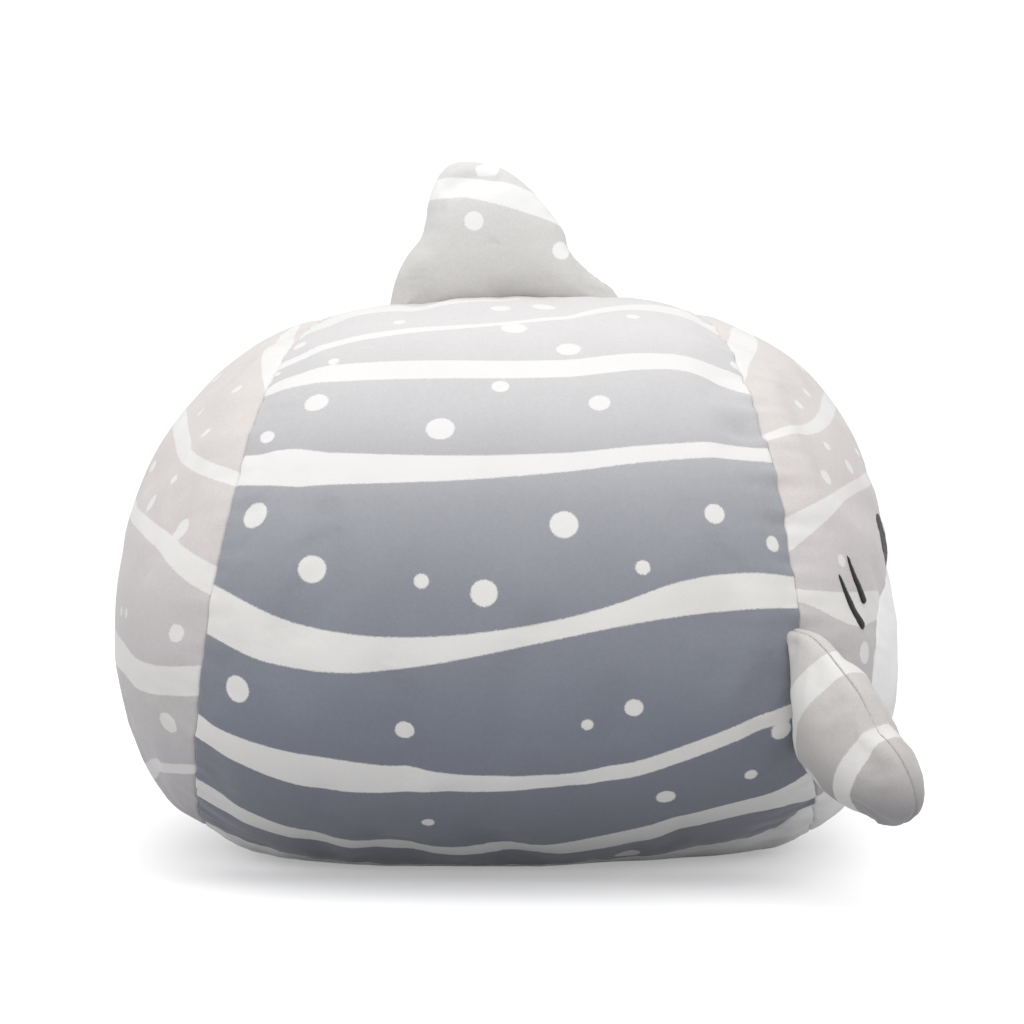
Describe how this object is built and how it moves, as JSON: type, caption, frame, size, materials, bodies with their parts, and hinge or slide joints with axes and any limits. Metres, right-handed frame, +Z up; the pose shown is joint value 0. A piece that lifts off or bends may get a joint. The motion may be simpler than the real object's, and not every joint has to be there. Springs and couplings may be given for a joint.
{
  "type": "plush shark",
  "caption": "Low, wide stuffed plush shark that lies on its belly, with a back fin and two side fins that flex at their sewn roots.",
  "frame": {"origin": "centre of the flat face under the belly, on the surface the shark lies on", "axes": "+X towards the nose, +Y to the shark's left, +Z up"},
  "size_m": [0.2908, 0.3664, 0.264],
  "materials": {
    "side_plush": "short-pile printed plush, slate grey with off-white stripes and dots",
    "face_plush": "short-pile printed plush, warm grey with off-white stripes and dots",
    "fin_plush": "short-pile printed plush, light grey with off-white stripes and dots",
    "white_plush": "short-pile plush, plain off-white",
    "stuffing": "loose polyester fibre fill",
    "seam_thread": "matte sewing thread",
    "black_thread": "satin-stitched embroidery thread",
    "white_thread": "satin-stitched embroidery thread"
  },
  "bodies": {
    "body": {"body_stuffing": "stuffing", "side_panel_right": "side_plush", "side_panel_left": "side_plush", "face_panel": "face_plush", "muzzle_panel": "white_plush", "rear_panel": "face_plush", "belly_panel": "white_plush", "top_seam_thread": "seam_thread", "front_seam_thread": "seam_thread", "rear_seam_thread": "seam_thread", "muzzle_seam_thread": "seam_thread", "belly_seam_thread_right": "seam_thread", "belly_seam_thread_left": "seam_thread", "closing_stitches": "seam_thread", "eye_right": "black_thread", "eye_left": "black_thread", "eye_highlights": "white_thread", "mouth_stitch": "black_thread", "gill_stitches_right": "black_thread", "gill_stitches_left": "black_thread"},
    "dorsal_fin": {"dorsal_fin_right_face": "fin_plush", "dorsal_fin_left_face": "fin_plush", "dorsal_fin_stuffing": "stuffing", "dorsal_fin_edge_seam": "seam_thread"},
    "pectoral_fin_right": {"pectoral_fin_right_front_face": "fin_plush", "pectoral_fin_right_rear_face": "fin_plush", "pectoral_fin_right_stuffing": "stuffing", "pectoral_fin_right_edge_seam": "seam_thread"},
    "pectoral_fin_left": {"pectoral_fin_left_front_face": "fin_plush", "pectoral_fin_left_rear_face": "fin_plush", "pectoral_fin_left_stuffing": "stuffing", "pectoral_fin_left_edge_seam": "seam_thread"}
  },
  "joints": [
    {"name": "dorsal_fin_lean", "type": "hinge", "parent": "body", "child": "dorsal_fin", "pos_m": [-0.002, 0, 0.2122], "axis": [1, 0, 0], "range_deg": [-25, 25], "stiffness_Nm_per_rad": 0.08},
    {"name": "pectoral_fin_right_flap", "type": "hinge", "parent": "body", "child": "pectoral_fin_right", "pos_m": [0.10656, -0.13254, 0.07067], "axis": [-0.1054, -0.4021, 0.9095], "range_deg": [-30, 30], "stiffness_Nm_per_rad": 0.08},
    {"name": "pectoral_fin_left_flap", "type": "hinge", "parent": "body", "child": "pectoral_fin_left", "pos_m": [0.10656, 0.13254, 0.07067], "axis": [0.1054, -0.4021, -0.9095], "range_deg": [-30, 30], "stiffness_Nm_per_rad": 0.08}
  ]
}
